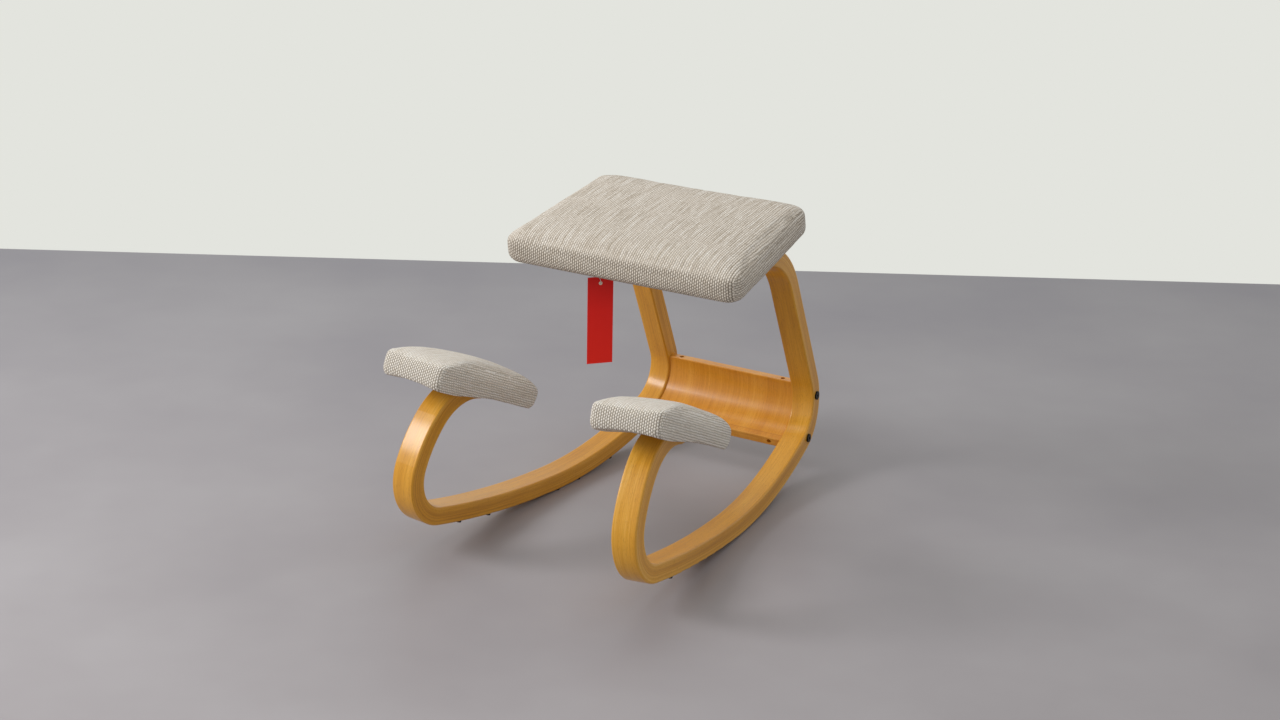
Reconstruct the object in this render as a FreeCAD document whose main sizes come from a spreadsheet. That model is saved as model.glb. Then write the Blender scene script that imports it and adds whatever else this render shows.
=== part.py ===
import FreeCAD, Part
import math
import os
import Sketcher

# Rocking kneeling chair: two moulded beech runners that curve from under the seat, round a rear bend, along
# the floor and up a front bend to the knee pads. A curved plywood crossbar ties them at the rear bend.
# Axes: the sitter faces -Y, +X is the sitter's left, +Z is up. Sizes are millimetres and degrees.

DIMENSIONS = {
    # runner section
    "runner_width": 40.0,
    "runner_thickness": 29.5,
    "runner_edge_radius": 3.0,
    # how the runners stand: spacing of their centres where they meet the floor, splay towards the front,
    # and the lean of their tops towards each other
    "runner_spacing": 338.0,
    "runner_splay": 4.5,
    "runner_lean": 2.7,
    # runner centreline, forwards from the point of the rocker that rests on the floor
    "rocker_rear_radius": 715.0,
    "rocker_rear_front_turn": 3.3,
    "rocker_front_radius": 1615.0,
    "rocker_front_turn": 10.6,
    "front_bend_radius": 72.0,
    "front_bend_turn": 99.1,
    "arm_radius": 194.0,
    "arm_turn": 23.3,
    "arm_top_radius": 97.0,
    "arm_top_turn": 69.1,
    "arm_tongue_length": 16.0,
    "arm_scarf_start": 8.0,
    "arm_scarf_angle": 24.0,
    # runner centreline, backwards from the same point
    "rocker_rear_back_turn": 20.6,
    "rear_bend_radius": 71.0,
    "rear_bend_turn": 94.6,
    "leg_length": 211.4,
    "top_bend_radius": 134.0,
    "top_bend_turn": 74.7,
    "seat_bearer_length": 45.0,
    # crossbar
    "crossbar_setback": 4.0,
    "crossbar_thickness": 17.0,
    "crossbar_tail": 18.0,
    "crossbar_edge_radius": 1.5,
    # crossbar bolts and their barrel nuts
    "bolt_diameter": 6.0,
    "bolt_clearance": 0.6,
    "bolt_head_diameter": 14.5,
    "bolt_head_height": 2.6,
    "bolt_socket_flats": 4.0,
    "bolt_socket_depth": 1.8,
    "bolt_reach": 30.0,
    "bolt_hole_spare": 4.0,
    "upper_bolt_angle": 1.7,
    "lower_bolt_angle": -63.3,
    "nut_diameter": 8.0,
    "nut_length": 14.0,
    "nut_inset": 21.0,
    "nut_clearance": 0.2,
    "nut_bore_spare": 10.0,
    "thread_clearance": 0.1,
    # seat
    "seat_front_width": 428.0,
    "seat_back_width": 388.0,
    "seat_depth": 291.0,
    "seat_height": 47.0,
    "seat_crown": 6.0,
    "seat_corner_front": 24.0,
    "seat_corner_back": 32.0,
    "seat_edge_radius": 13.0,
    "seat_lower_radius": 8.0,
    "seat_tuck": 7.0,
    "seat_tuck_rise": 2.0,
    "seat_least_corner": 16.0,
    "seat_cover_roll": 0.8,
    "seat_ahead": 17.0,
    "seat_board_inset": 12.0,
    "seat_board_thickness": 12.0,
    "seat_board_corner": 20.0,
    "seat_window_inset": 45.0,
    "seat_window_width": 338.0,
    # knee pads: distances along the arm's top from the end of its bend, heights above the board's underside
    "knee_front": 176.0,
    "knee_back": 90.0,
    "knee_half_width": 56.0,
    "knee_corner": 11.0,
    "knee_height": 48.0,
    "knee_skirt": 5.0,
    "knee_plane": 4.0,
    "knee_board_front": 142.0,
    "knee_board_back": 62.0,
    "knee_board_width": 88.0,
    "knee_board_thickness": 10.0,
    "knee_board_corner": 14.0,
    "knee_window_front": 84.0,
    "knee_window_back": 24.0,
    "knee_window_width": 52.0,
    "cover_thickness": 1.6,
    # screws that hold the seat and the knee pads, with tee nuts in the boards
    "screw_diameter": 6.0,
    "screw_clearance": 0.5,
    "screw_head_diameter": 12.0,
    "screw_head_height": 3.2,
    "seat_screw_front": 34.0,
    "seat_screw_back": 5.0,
    "seat_screw_grip": 19.0,
    "knee_screw_grip": 5.5,
    "knee_screw_front": 45.0,
    "knee_screw_back": -15.0,
    "tee_barrel_diameter": 8.0,
    "tee_flange_diameter": 19.0,
    "tee_flange_height": 1.2,
    "tee_fit": 0.05,
    "hole_run_up": 10.0,
    # glides under the runners: distances along the rocker from the point of rest, forwards positive
    "glide_diameter": 8.0,
    "glide_proud": 1.8,
    "glide_recess": 1.2,
    "glide_wear": 0.25,
    "glide_peg_diameter": 4.0,
    "glide_peg_length": 9.0,
    "glide_inset": 4.5,
    "glide_first": 29.0,
    "glide_rear": 118.0,
    "glide_front": 212.0,
    "glide_toe": 286.0,
    # hang tag on its fastener, under the front of the seat
    "tag_width": 42.0,
    "tag_length": 144.0,
    "tag_thickness": 0.6,
    "tag_hole_below_top": 10.5,
    "tag_yaw": 47.6,
    "tag_seat_x": -52.0,
    "tag_seat_back": 39.5,
    "tag_drop": 22.0,
    "strand_diameter": 1.2,
    "strand_spread": 12.0,
    "strand_loop_radius": 2.4,
    "strand_top_gap": 0.25,
    "bar_drop": 1.0,
    "eyelet_hole_diameter": 1.8,
    "eyelet_barrel_diameter": 4.4,
    "eyelet_flange_diameter": 6.0,
    "eyelet_flange_height": 0.3,
    # staples that hold the covers' hems to the boards
    "staple_width": 10.0,
    "staple_wire": 1.0,
    "staple_leg": 8.0,
    "staple_spacing_across": 120.0,
    "staple_spacing_back": 85.0,
    "staple_end_setback": 10.0,
    "staple_side_setback": 6.0,
}

# sizes that follow from the ones above
DERIVED = {
    "half_thickness": "runner_thickness / 2",
    "half_width": "runner_width / 2",
    "bolt_hole_diameter": "bolt_diameter + bolt_clearance",
    "bolt_shank_length": "runner_width + bolt_reach",
    "bolt_hole_length": "runner_width + bolt_reach + bolt_hole_spare",
    "nut_hole_diameter": "bolt_diameter + thread_clearance",
    "nut_bore_diameter": "nut_diameter + nut_clearance",
    "seat_board_half_front": "seat_front_width / 2 - seat_board_inset",
    "seat_board_half_back": "seat_back_width / 2 - seat_board_inset",
    "seat_board_half_depth": "seat_depth / 2 - seat_board_inset",
    "seat_window_depth": "seat_depth - 2 * seat_window_inset",
    "knee_board_half_width": "knee_board_width / 2",
    "knee_window_length": "knee_window_front + knee_window_back",
    "screw_hole_diameter": "screw_diameter + screw_clearance",
    "screw_recess_diameter": "screw_head_diameter + 1",
    "screw_thread_hole": "screw_diameter + thread_clearance",
    "seat_screw_length": "seat_screw_grip + seat_board_thickness - 1",
    "knee_screw_length": "knee_screw_grip + knee_board_thickness - 1",
    "tee_barrel_hole": "tee_barrel_diameter + 2 * tee_fit",
    "seat_tee_length": "seat_board_thickness - 2",
    "knee_tee_length": "knee_board_thickness - 1.5",
    "glide_height": "glide_recess + glide_proud",
    "glide_peg_hole": "glide_peg_diameter + 0.1",
    "eyelet_barrel_hole": "eyelet_barrel_diameter + 0.1",
    "eyelet_barrel_length": "tag_thickness + 2 * eyelet_flange_height",
}

SIDES = {"left": 1, "right": -1}

doc = FreeCAD.newDocument("kneeling_chair")
sheet = doc.addObject("Spreadsheet::Sheet", "dims")
for row, (alias, value) in enumerate(list(DIMENSIONS.items()) + list(DERIVED.items()), start=1):
    sheet.set("A%d" % row, alias)
    sheet.set("B%d" % row, "=" + value if alias in DERIVED else str(value))
    sheet.setAlias("B%d" % row, alias)
doc.recompute()


def size(alias):
    """The number that the sheet holds under this name."""
    return float(sheet.get(alias))


def bind(item, prop, alias, ending=""):
    """Ties one property of an object to the sheet."""
    item.setExpression(prop, "dims." + alias + ending)


def vector(x, y, z):
    return FreeCAD.Vector(x, y, z)


def turned(axis, degrees, base=vector(0, 0, 0)):
    return FreeCAD.Placement(base, FreeCAD.Rotation(axis, degrees))


X_AXIS = vector(1, 0, 0)
Y_AXIS = vector(0, 1, 0)
Z_AXIS = vector(0, 0, 1)


# Plain building blocks; sizes are names in the sheet

def cylinder(name, diameter, height, place):
    """A cylinder from its base centre along its own Z."""
    item = doc.addObject("Part::Cylinder", name)
    bind(item, "Radius", diameter, " / 2")
    bind(item, "Height", height)
    item.Placement = place
    return item


def block(name, length, width, height, place):
    """A box centred on its own Z axis in X and Y, from its base up."""
    item = doc.addObject("Part::Box", name)
    bind(item, "Length", length)
    bind(item, "Width", width)
    bind(item, "Height", height)
    item.Placement = place.multiply(FreeCAD.Placement(vector(-size(length) / 2, -size(width) / 2, 0),
                                                      FreeCAD.Rotation()))
    return item


def tool_box(name, near, far, place):
    """A cutting box between two opposite corners; only its plane that meets the part matters."""
    item = doc.addObject("Part::Box", name)
    item.Length, item.Width, item.Height = far - near
    item.Placement = place.multiply(FreeCAD.Placement(near, FreeCAD.Rotation()))
    return item


def fuse(name, items):
    if len(items) == 1:
        return items[0]
    item = doc.addObject("Part::MultiFuse", name)
    item.Shapes = items
    return item


def cut(name, base, tools):
    item = doc.addObject("Part::Cut", name)
    item.Base = base
    item.Tool = fuse(name + "_tools", tools)
    return item


def compound(name, items):
    item = doc.addObject("Part::Compound", name)
    item.Links = items
    return item


# Runner centreline: each stretch is (kind, radius or length, turn), all tangent to the one before

FRONT_RUN = [
    ("arc", "rocker_rear_radius", "rocker_rear_front_turn"),
    ("arc", "rocker_front_radius", "rocker_front_turn"),
    ("arc", "front_bend_radius", "front_bend_turn"),
    ("arc", "arm_radius", "arm_turn"),
    ("arc", "arm_top_radius", "arm_top_turn"),
    ("line", "arm_tongue_length", None),
]
REAR_RUN = [
    ("arc", "rocker_rear_radius", "rocker_rear_back_turn"),
    ("arc", "rear_bend_radius", "rear_bend_turn"),
    ("line", "leg_length", None),
    ("arc", "top_bend_radius", "top_bend_turn"),
    ("line", "seat_bearer_length", None),
]


def stations(run, way):
    """Start point, heading and curve centre of each stretch in the runner's plane (y, z); way is 1 towards
    the back, where the run turns anticlockwise, and -1 towards the front. The last entry is the run's end."""
    y, z, heading = 0.0, 0.0, 0.0 if way > 0 else math.pi
    found = []
    for kind, length, turn in run:
        if kind == "line":
            found.append((y, z, heading, None))
            y += size(length) * math.cos(heading)
            z += size(length) * math.sin(heading)
        else:
            radius = size(length)
            centre_y = y - way * radius * math.sin(heading)
            centre_z = z + way * radius * math.cos(heading)
            found.append((y, z, heading, (centre_y, centre_z)))
            heading += way * math.radians(size(turn))
            y = centre_y + way * radius * math.sin(heading)
            z = centre_z - way * radius * math.cos(heading)
    found.append((y, z, heading, None))
    return found


FRONT = stations(FRONT_RUN, -1)
REAR = stations(REAR_RUN, 1)
REAR_BEND_CENTRE = REAR[1][3]
ARM_TOP_END = FRONT[5]
TOP_BEND_END = REAR[4]


def runner_frame(side):
    """Where a runner's own axes lie: X across its width, Y along the floor, Z in its plane upwards."""
    splay = turned(Z_AXIS, side * size("runner_splay"), vector(side * size("runner_spacing") / 2, 0, 0))
    return splay.multiply(turned(Y_AXIS, -side * size("runner_lean")))


def in_runner(side, x, y, z):
    return runner_frame(side).multVec(vector(x, y, z))


def plane_of(body, role):
    return next(f for f in body.Origin.OriginFeatures if f.Role == role)


def sketch_in(body, name, role):
    sketch = body.newObject("Sketcher::SketchObject", name)
    sketch.AttachmentSupport = [(plane_of(body, role), "")]
    sketch.MapMode = "FlatFace"
    return sketch


def drive(sketch, constraint, alias, ending=""):
    """Adds a constraint that the sheet drives."""
    index = sketch.addConstraint(constraint)
    bind(sketch, "Constraints[%d]" % index, alias, ending)


def spine_sketch(body, name, run, way, knots):
    """The centreline as a chain of tangent arcs and lines from the body's origin."""
    sketch = sketch_in(body, name, "YZ_Plane")
    last, last_end = -1, 1
    for number, (kind, length, turn) in enumerate(run):
        y, z, heading, centre = knots[number]
        end_y, end_z, end_heading, _ = knots[number + 1]
        if kind == "line":
            item = sketch.addGeometry(Part.LineSegment(vector(y, z, 0), vector(end_y, end_z, 0)), False)
            first_end, far_end = 1, 2
        else:
            angles = sorted((heading - way * math.pi / 2, end_heading - way * math.pi / 2))
            circle = Part.Circle(vector(centre[0], centre[1], 0), Z_AXIS, size(length))
            item = sketch.addGeometry(Part.ArcOfCircle(circle, angles[0], angles[1]), False)
            first_end, far_end = (1, 2) if way > 0 else (2, 1)
        if number == 0:
            sketch.addConstraint(Sketcher.Constraint("Coincident", item, first_end, -1, 1))
            sketch.addConstraint(Sketcher.Constraint("PointOnObject", item, 3, -2))
        else:
            sketch.addConstraint(Sketcher.Constraint("Tangent", last, last_end, item, first_end))
        if kind == "line":
            drive(sketch, Sketcher.Constraint("Distance", item, size(length)), length)
        else:
            drive(sketch, Sketcher.Constraint("Radius", item, size(length)), length)
            drive(sketch, Sketcher.Constraint("Angle", item, math.radians(size(turn))), turn, " * 1 deg")
        last, last_end = item, far_end
    return sketch


def section_sketch(body, name):
    """The runner's rectangular section with rounded corners, square to the centreline at the floor."""
    sketch = sketch_in(body, name, "XZ_Plane")
    half_w = size("half_width")
    half_t = size("half_thickness")
    r = size("runner_edge_radius")
    corners = [(half_w, half_t), (-half_w, half_t), (-half_w, -half_t), (half_w, -half_t)]
    sides = []
    for index, (x, z) in enumerate(corners):
        next_x, next_z = corners[(index + 1) % 4]
        step_x = (next_x > x) - (next_x < x)
        step_z = (next_z > z) - (next_z < z)
        line = Part.LineSegment(vector(x + step_x * r, z + step_z * r, 0),
                                vector(next_x - step_x * r, next_z - step_z * r, 0))
        sides.append(sketch.addGeometry(line, False))
    arcs = []
    for index, (x, z) in enumerate(corners):
        centre = vector(x - math.copysign(r, x), z - math.copysign(r, z), 0)
        start = math.pi / 2 * index
        rounding = Part.ArcOfCircle(Part.Circle(centre, Z_AXIS, r), start, start + math.pi / 2)
        arcs.append(sketch.addGeometry(rounding, False))
    for index in range(4):
        sketch.addConstraint(Sketcher.Constraint("Tangent", arcs[index], 2, sides[index], 1))
        sketch.addConstraint(Sketcher.Constraint("Tangent", sides[index], 2, arcs[(index + 1) % 4], 1))
    for index in range(4):
        sketch.addConstraint(Sketcher.Constraint(("Horizontal", "Vertical")[index % 2], sides[index]))
    for index in range(1, 4):
        sketch.addConstraint(Sketcher.Constraint("Equal", arcs[0], arcs[index]))
    drive(sketch, Sketcher.Constraint("Radius", arcs[0], r), "runner_edge_radius")
    drive(sketch, Sketcher.Constraint("DistanceY", -1, 1, sides[0], 1, half_t), "half_thickness")
    drive(sketch, Sketcher.Constraint("DistanceX", sides[1], 1, -1, 1, half_w), "half_width")
    drive(sketch, Sketcher.Constraint("DistanceY", sides[2], 1, -1, 1, half_t), "half_thickness")
    drive(sketch, Sketcher.Constraint("DistanceX", -1, 1, sides[3], 1, half_w), "half_width")
    return sketch


def polygon_sketch(body, name, corners):
    """A closed outline in the body's XY plane; each corner is (x, y, name of x, name of y) and the first and
    third sides run along X."""
    sketch = sketch_in(body, name, "XY_Plane")
    count = len(corners)
    for index in range(count):
        x, y = corners[index][:2]
        next_x, next_y = corners[(index + 1) % count][:2]
        sketch.addGeometry(Part.LineSegment(vector(x, y, 0), vector(next_x, next_y, 0)), False)
    for index in range(count):
        sketch.addConstraint(Sketcher.Constraint("Coincident", index, 2, (index + 1) % count, 1))
    for index in (0, 2):
        sketch.addConstraint(Sketcher.Constraint("Horizontal", index))
    for index, (x, y, x_name, y_name) in enumerate(corners):
        ends = (-1, 1, index, 1) if x > 0 else (index, 1, -1, 1)
        drive(sketch, Sketcher.Constraint("DistanceX", *ends, abs(x)), x_name)
        if index in (0, 2):
            ends = (-1, 1, index, 1) if y > 0 else (index, 1, -1, 1)
            drive(sketch, Sketcher.Constraint("DistanceY", *ends, abs(y)), y_name)
    return sketch


def plate(name, front_half, back_half, front, back, thickness, corner, place):
    """A flat board with rounded corners, from its own origin upwards; all sizes are names in the sheet."""
    half_f, half_b, y_f, y_b = (size(alias) for alias in (front_half, back_half, front, back))
    body = doc.addObject("PartDesign::Body", name)
    corners = [(-half_f, -y_f, front_half, front), (half_f, -y_f, front_half, front),
               (half_b, y_b, back_half, back), (-half_b, y_b, back_half, back)]
    outline = polygon_sketch(body, name + "_outline", corners)
    pad = body.newObject("PartDesign::Pad", name + "_pad")
    pad.Profile = outline
    bind(pad, "Length", thickness)
    doc.recompute()
    upright = ["Edge%d" % number for number, edge in enumerate(pad.Shape.Edges, start=1)
               if abs(edge.tangentAt(edge.FirstParameter).z) > 0.99]
    fillet = body.newObject("PartDesign::Fillet", name + "_corners")
    fillet.Base = (pad, upright)
    bind(fillet, "Radius", corner)
    body.Tip = fillet
    body.Placement = place
    return body


# Frames of the upholstered parts

def seat_frame():
    """Origin at the middle of the seat board's underside, Y to the back along the slope. The underside lies on
    the inner top edges of both seat bearers."""
    y, z, heading, _ = TOP_BEND_END
    top_y = y + size("half_thickness") * math.sin(heading)
    top_z = z - size("half_thickness") * math.cos(heading)
    inner = -size("half_width")
    start = in_runner(1, inner, top_y, top_z)
    along = start - in_runner(1, inner, top_y + math.cos(heading), top_z + math.sin(heading))
    slope = math.atan2(along.z, along.y)
    back = vector(0, math.cos(slope), math.sin(slope))
    origin = vector(0, start.y, start.z) - back * size("seat_ahead")
    return FreeCAD.Placement(origin, FreeCAD.Rotation(X_AXIS, math.degrees(slope)))


def knee_frame(side):
    """Origin at the end of the arm's top bend on its centreline, Y down the arm to the back, Z off its top."""
    y, z, heading, _ = ARM_TOP_END
    return runner_frame(side).multiply(turned(X_AXIS, math.degrees(heading), vector(0, y, z)))


SEAT = seat_frame()
KNEE = {side: knee_frame(side) for side in SIDES.values()}


# Cushions: stacked rounded outlines from the tucked-in lower edge to the crown

def rounded_outline(front_half, back_half, front, back, front_corner, back_corner, z):
    """A closed wire of four lines and four arcs, wider or narrower at the back."""
    points = [vector(-front_half, -front, z), vector(front_half, -front, z),
              vector(back_half, back, z), vector(-back_half, back, z)]
    radii = [front_corner, front_corner, back_corner, back_corner]
    starts, mids, ends = [], [], []
    for index, point in enumerate(points):
        before = (points[index - 1] - point).normalize()
        after = (points[(index + 1) % 4] - point).normalize()
        half_angle = before.getAngle(after) / 2
        reach = radii[index] / math.tan(half_angle)
        bisector = (before + after).normalize()
        starts.append(point + before * reach)
        ends.append(point + after * reach)
        mids.append(point + bisector * (radii[index] / math.sin(half_angle) - radii[index]))
    edges = []
    for index in range(4):
        edges.append(Part.Arc(starts[index], mids[index], ends[index]).toShape())
        edges.append(Part.LineSegment(ends[index], starts[(index + 1) % 4]).toShape())
    return Part.Wire(edges)


def shrunk(profile, thickness):
    """The side profile of (inset, height) points moved inwards by the cover's thickness."""
    moved = []
    for index, (inset, z) in enumerate(profile):
        before = profile[max(index - 1, 0)]
        after = profile[min(index + 1, len(profile) - 1)]
        rise, run = after[1] - before[1], after[0] - before[0]
        length = math.hypot(rise, run)
        moved.append((inset + thickness * rise / length, z - thickness * run / length))
    return moved


# The seat's crown: distance in from the edge, and the share of the crown reached there
SEAT_CROWN_STEPS = [(18.0, 0.16), (34.0, 0.45), (60.0, 0.78), (96.0, 1.0)]
LOWER_EDGE_STEPS = (25, 50, 90)
UPPER_EDGE_STEPS = (15, 30, 45, 60, 75)


def side_profile(height, tuck, lower_radius, upper_radius, crown):
    """Insets and heights up the side of the seat: tucked in below, rounded over, then the crown."""
    points = [(tuck, 0.0)]
    for angle in LOWER_EDGE_STEPS:
        turn = math.radians(angle)
        rise = lower_radius * (1 - math.cos(turn)) + size("seat_tuck_rise")
        points.append((tuck * (1 - math.sin(turn)), rise))
    points.append((0.0, height - upper_radius))
    for angle in UPPER_EDGE_STEPS:
        turn = math.radians(angle)
        points.append((upper_radius * (1 - math.cos(turn)), height - upper_radius * (1 - math.sin(turn))))
    for inset, share in SEAT_CROWN_STEPS:
        points.append((inset, height + crown * share))
    return points


# How fast the seat's corner radii fall away as the outlines step in
FRONT_CORNER_FADE = 0.4
BACK_CORNER_FADE = 0.5


def seat_form(thickness):
    """The seat cushion's outer form, or the foam's with the cover's thickness taken off."""
    profile = side_profile(size("seat_height"), size("seat_tuck"), size("seat_lower_radius"),
                           size("seat_edge_radius"), size("seat_crown"))
    if thickness:
        profile = [(profile[0][0] + thickness, 0.0)] + shrunk(profile, thickness)[1:]
    else:
        profile = [(profile[0][0] + size("seat_cover_roll"), -size("cover_thickness"))] + profile[1:]
    least = size("seat_least_corner")
    wires = []
    for inset, z in profile:
        half_depth = size("seat_depth") / 2 - inset
        front_corner = max(size("seat_corner_front") - inset * FRONT_CORNER_FADE, least)
        back_corner = max(size("seat_corner_back") - inset * BACK_CORNER_FADE, least)
        wires.append(rounded_outline(size("seat_front_width") / 2 - inset, size("seat_back_width") / 2 - inset,
                                     half_depth, half_depth, front_corner, back_corner, z))
    return Part.makeLoft(wires, True, True)


# Knee pad levels as (height, inset of the front end, of the back end, of the sides), the height as a share of
# the whole above the board's underside: upright faces with a firm edge, then a long low crown. The foot is
# the tucked-in lower edge of the skirt.
KNEE_FOOT = (7.0, 6.0, 3.5)
KNEE_CORNER_GROWTH = 0.2
KNEE_LEAST_END = 3.0
KNEE_LEVELS = [
    (0.06, 1.0, 1.0, 0.6),
    (0.25, 0.0, 0.0, 0.0),
    (0.42, 1.0, 1.0, 0.1),
    (0.52, 8.0, 6.0, 0.6),
    (0.63, 26.0, 17.0, 1.8),
    (0.73, 43.0, 28.0, 4.5),
    (0.82, 62.0, 39.0, 10.0),
    (0.90, 88.0, 51.0, 19.0),
    (0.97, 120.0, 66.0, 33.0),
    (1.0, 148.0, 78.0, 44.0),
]


def knee_form(thickness):
    """A knee pad's outer form, or the foam's, standing on its skirt; the underside is still flat."""
    height = size("knee_height")
    wires = []
    lowest = -size("knee_skirt") - (0 if thickness else size("cover_thickness"))
    levels = [(lowest, *KNEE_FOOT)] + [(share * height, *insets) for share, *insets in KNEE_LEVELS]
    moved = shrunk([(level[3], level[0]) for level in levels], thickness)
    for index, ((z, front, back, side), (new_side, new_z)) in enumerate(zip(levels, moved)):
        lean = math.sqrt(max(0.0, thickness ** 2 - (new_z - z) ** 2))
        if thickness and index == 0:
            new_side, new_z = side + thickness, z
            lean = thickness
        half = size("knee_half_width") - new_side
        corner = size("knee_corner") + side * KNEE_CORNER_GROWTH - lean / 2
        corner = min(corner, half - KNEE_LEAST_END)
        wires.append(rounded_outline(half, half, size("knee_front") - front - lean,
                                     size("knee_back") - back - lean, corner, corner, new_z))
    return Part.makeLoft(wires, True, True)


def knee_arch(top):
    """The hollow that runs along under a pad: a round bar whose top touches the given height."""
    half = size("knee_half_width")
    drop = size("knee_skirt")
    radius = (half ** 2 + drop ** 2) / (2 * drop)
    reach = size("knee_front") + size("knee_back")
    return Part.makeCylinder(radius, 2 * reach, vector(0, -reach, top - radius), Y_AXIS)


def form(name, shape, place):
    """A cushion's form as a document object."""
    item = doc.addObject("Part::Feature", name)
    item.Shape = shape
    item.Placement = place
    return item


FINAL = {}


def deliver(node, item):
    """Names a finished sub-part."""
    item.Label = node
    FINAL[node] = item


# Seat: a plywood board, foam over it, and a cover whose hem turns under the board

seat_board = plate("SeatBoard", "seat_board_half_front", "seat_board_half_back", "seat_board_half_depth",
                   "seat_board_half_depth", "seat_board_thickness", "seat_board_corner", SEAT)
doc.recompute()


def bearer_point(side, distance):
    """A screw's place on the seat board's underside, this far along the bearer's straight end, in the seat's
    own axes."""
    y, z, heading, _ = TOP_BEND_END
    y += distance * math.cos(heading)
    z += distance * math.sin(heading)
    top = in_runner(side, 0, y + size("half_thickness") * math.sin(heading),
                    z - size("half_thickness") * math.cos(heading))
    local = SEAT.inverse().multVec(top)
    return vector(local.x, local.y, 0)


SEAT_SCREWS = {side: [bearer_point(side, size("seat_screw_front")), bearer_point(side, size("seat_screw_back"))]
               for side in SIDES.values()}
KNEE_SCREWS = [vector(0, -size("knee_screw_front"), -size("knee_plane")),
               vector(0, size("knee_screw_back"), -size("knee_plane"))]


def at(frame, point, rotation=FreeCAD.Rotation()):
    return frame.multiply(FreeCAD.Placement(point, rotation))


def screw_places(kind):
    """(side, frame on the board's underside at the screw) for each screw of the seat or of the knee pads."""
    if kind == "seat":
        return [(side, at(SEAT, point)) for side, points in SEAT_SCREWS.items() for point in points]
    return [(side, at(KNEE[side], point)) for side in KNEE for point in KNEE_SCREWS]


def upward(frame, height):
    return at(frame, vector(0, 0, height))


def screws(kind):
    """Screws from below: a round head recessed in the runner, a shank up into the tee nut."""
    parts = []
    for index, (side, frame) in enumerate(screw_places(kind)):
        name = "%sScrew%d" % (kind.title(), index)
        grip = size(kind + "_screw_grip")
        shank = cylinder(name + "Shank", "screw_diameter", kind + "_screw_length", upward(frame, -grip))
        head = cylinder(name + "Head", "screw_head_diameter", "screw_head_height",
                        upward(frame, -grip - size("screw_head_height")))
        socket = cylinder(name + "Socket", "bolt_socket_flats", "bolt_socket_depth",
                          upward(frame, -grip - size("screw_head_height")))
        parts.append(cut(name, fuse(name + "Body", [shank, head]), [socket]))
    return compound(kind.title() + "Screws", parts)


def tee_nuts(kind):
    """Tee nuts in the board: a barrel in its hole and a round flange on its upper face."""
    parts = []
    for index, (side, frame) in enumerate(screw_places(kind)):
        name = "%sTee%d" % (kind.title(), index)
        top = size(kind + "_board_thickness")
        flange = cylinder(name + "Flange", "tee_flange_diameter", "tee_flange_height", upward(frame, top))
        barrel = cylinder(name + "Barrel", "tee_barrel_diameter", kind + "_tee_length",
                          upward(frame, top - size(kind + "_tee_length")))
        hole = cylinder(name + "Thread", "screw_thread_hole", "runner_width", upward(frame, 0))
        parts.append(cut(name, fuse(name + "Body", [flange, barrel]), [hole]))
    return compound(kind.title() + "Tees", parts)


def board_holes(kind, side_wanted=None):
    """Holes for the tee nuts' barrels through the board."""
    return [cylinder("%sBoardHole%d" % (kind.title(), index), "tee_barrel_hole", "runner_width",
                     upward(frame, -size("hole_run_up")))
            for index, (side, frame) in enumerate(screw_places(kind)) if side_wanted in (None, side)]


def foam_pockets(kind, side_wanted=None):
    """Room in the foam for the tee nuts' flanges."""
    return [cylinder("%sPocket%d" % (kind.title(), index), "tee_flange_diameter", "tee_flange_height",
                     upward(frame, size(kind + "_board_thickness")))
            for index, (side, frame) in enumerate(screw_places(kind)) if side_wanted in (None, side)]


def runner_screw_holes(kind, side_wanted):
    """Clearance holes up through the runner, each with a recess for the head."""
    tools = []
    for index, (side, frame) in enumerate(screw_places(kind)):
        if side != side_wanted:
            continue
        name = "%sRunnerHole%d" % (kind.title(), index)
        tools.append(cylinder(name, "screw_hole_diameter", "runner_width",
                              upward(frame, -size("runner_thickness"))))
        tools.append(cylinder(name + "Recess", "screw_recess_diameter", "runner_width",
                              upward(frame, -size(kind + "_screw_grip") - size("runner_width"))))
    return tools


# Hem staples: crown across the hem's inner edge, legs up into the board

def staple(name, frame, proud):
    """One wire staple: its crown is this far below the frame's plane, its legs point up."""
    width, wire, leg = size("staple_width"), size("staple_wire"), size("staple_leg")
    parts = [tool_box(name + "Crown", vector(-width / 2, -wire / 2, -proud - wire),
                      vector(width / 2, wire / 2, -proud), frame)]
    for end in (-1, 1):
        inner, outer = sorted((end * (width / 2 - wire), end * width / 2))
        parts.append(tool_box("%sLeg%d" % (name, end), vector(inner, -wire / 2, -proud - wire),
                              vector(outer, wire / 2, leg - proud), frame))
    return fuse(name, parts)


HEM_PLANE = at(SEAT, vector(0, 0, -size("cover_thickness")))
HALF_DEPTH = size("seat_depth") / 2
TAG_ANCHOR = vector(size("tag_seat_x"), size("tag_seat_back") - HALF_DEPTH, 0)
STAPLE_ROW = HALF_DEPTH - size("seat_window_inset") + size("staple_end_setback")
STAPLE_COLUMN = size("seat_window_width") / 2 + size("staple_side_setback")
SEAT_STAPLES = [(step * size("staple_spacing_across"), end * STAPLE_ROW, 0)
                for end in (-1, 1) for step in (-1, 0, 1)]
SEAT_STAPLES += [(end * STAPLE_COLUMN, step * size("staple_spacing_back"), 90)
                 for end in (-1, 1) for step in (-1, 1)]
TAG_TURN = FreeCAD.Rotation(Z_AXIS, size("tag_yaw"))


# The tag hangs from a nylon fastener: a bar under the hem, caught by a staple, and two strands that run down
# either side of the card and join through its eyelet

anchor = HEM_PLANE.multVec(TAG_ANCHOR)
strand = size("strand_diameter")
bar_gap = size("strand_top_gap")
bar_centre = anchor - vector(0, 0, strand / 2 + bar_gap + size("bar_drop"))
TAG_FRAME = FreeCAD.Placement(bar_centre, TAG_TURN)
TAG_EYE = at(TAG_FRAME, vector(0, 0, -size("tag_drop")))


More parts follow.
